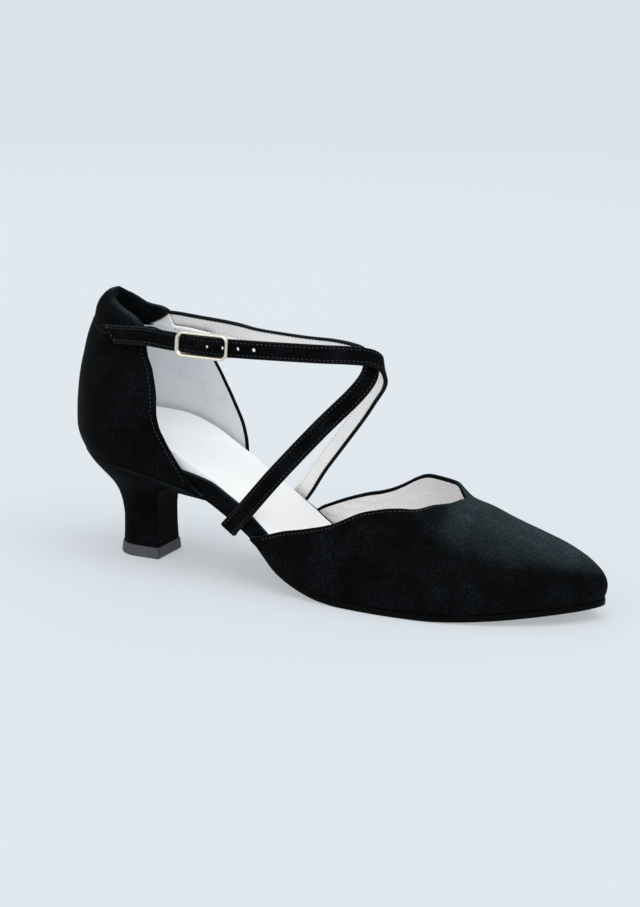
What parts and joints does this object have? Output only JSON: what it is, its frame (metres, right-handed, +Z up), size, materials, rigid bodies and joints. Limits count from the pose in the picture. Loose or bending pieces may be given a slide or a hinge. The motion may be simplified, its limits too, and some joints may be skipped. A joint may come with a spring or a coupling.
{
  "type": "ballroom dance shoe",
  "caption": "Woman's right ballroom court shoe in black suede with a closed toe, block heel and two crossing instep straps.",
  "frame": {"origin": "middle of the heel's top piece, on the floor", "axes": "+X towards the toe, +Y towards the inner side of the foot, +Z up"},
  "size_m": [0.246, 0.0761, 0.1191],
  "materials": {
    "black_suede": "suede nap",
    "white_leather": "smooth",
    "sole_suede": "rough suede",
    "grey_rubber": "matte",
    "pale_gold": "polished plating"
  },
  "bodies": {
    "root": {"outsole": "sole_suede", "insole_board": "black_suede", "sock_lining": "white_leather", "heel_block": "black_suede", "heel_top_piece": "grey_rubber", "vamp": "black_suede", "quarter": "black_suede", "collar": "black_suede", "cross_strap": "black_suede", "buckle_strap": "black_suede", "buckle_tab": "black_suede", "buckle_frame": "pale_gold"}
  },
  "joints": []
}
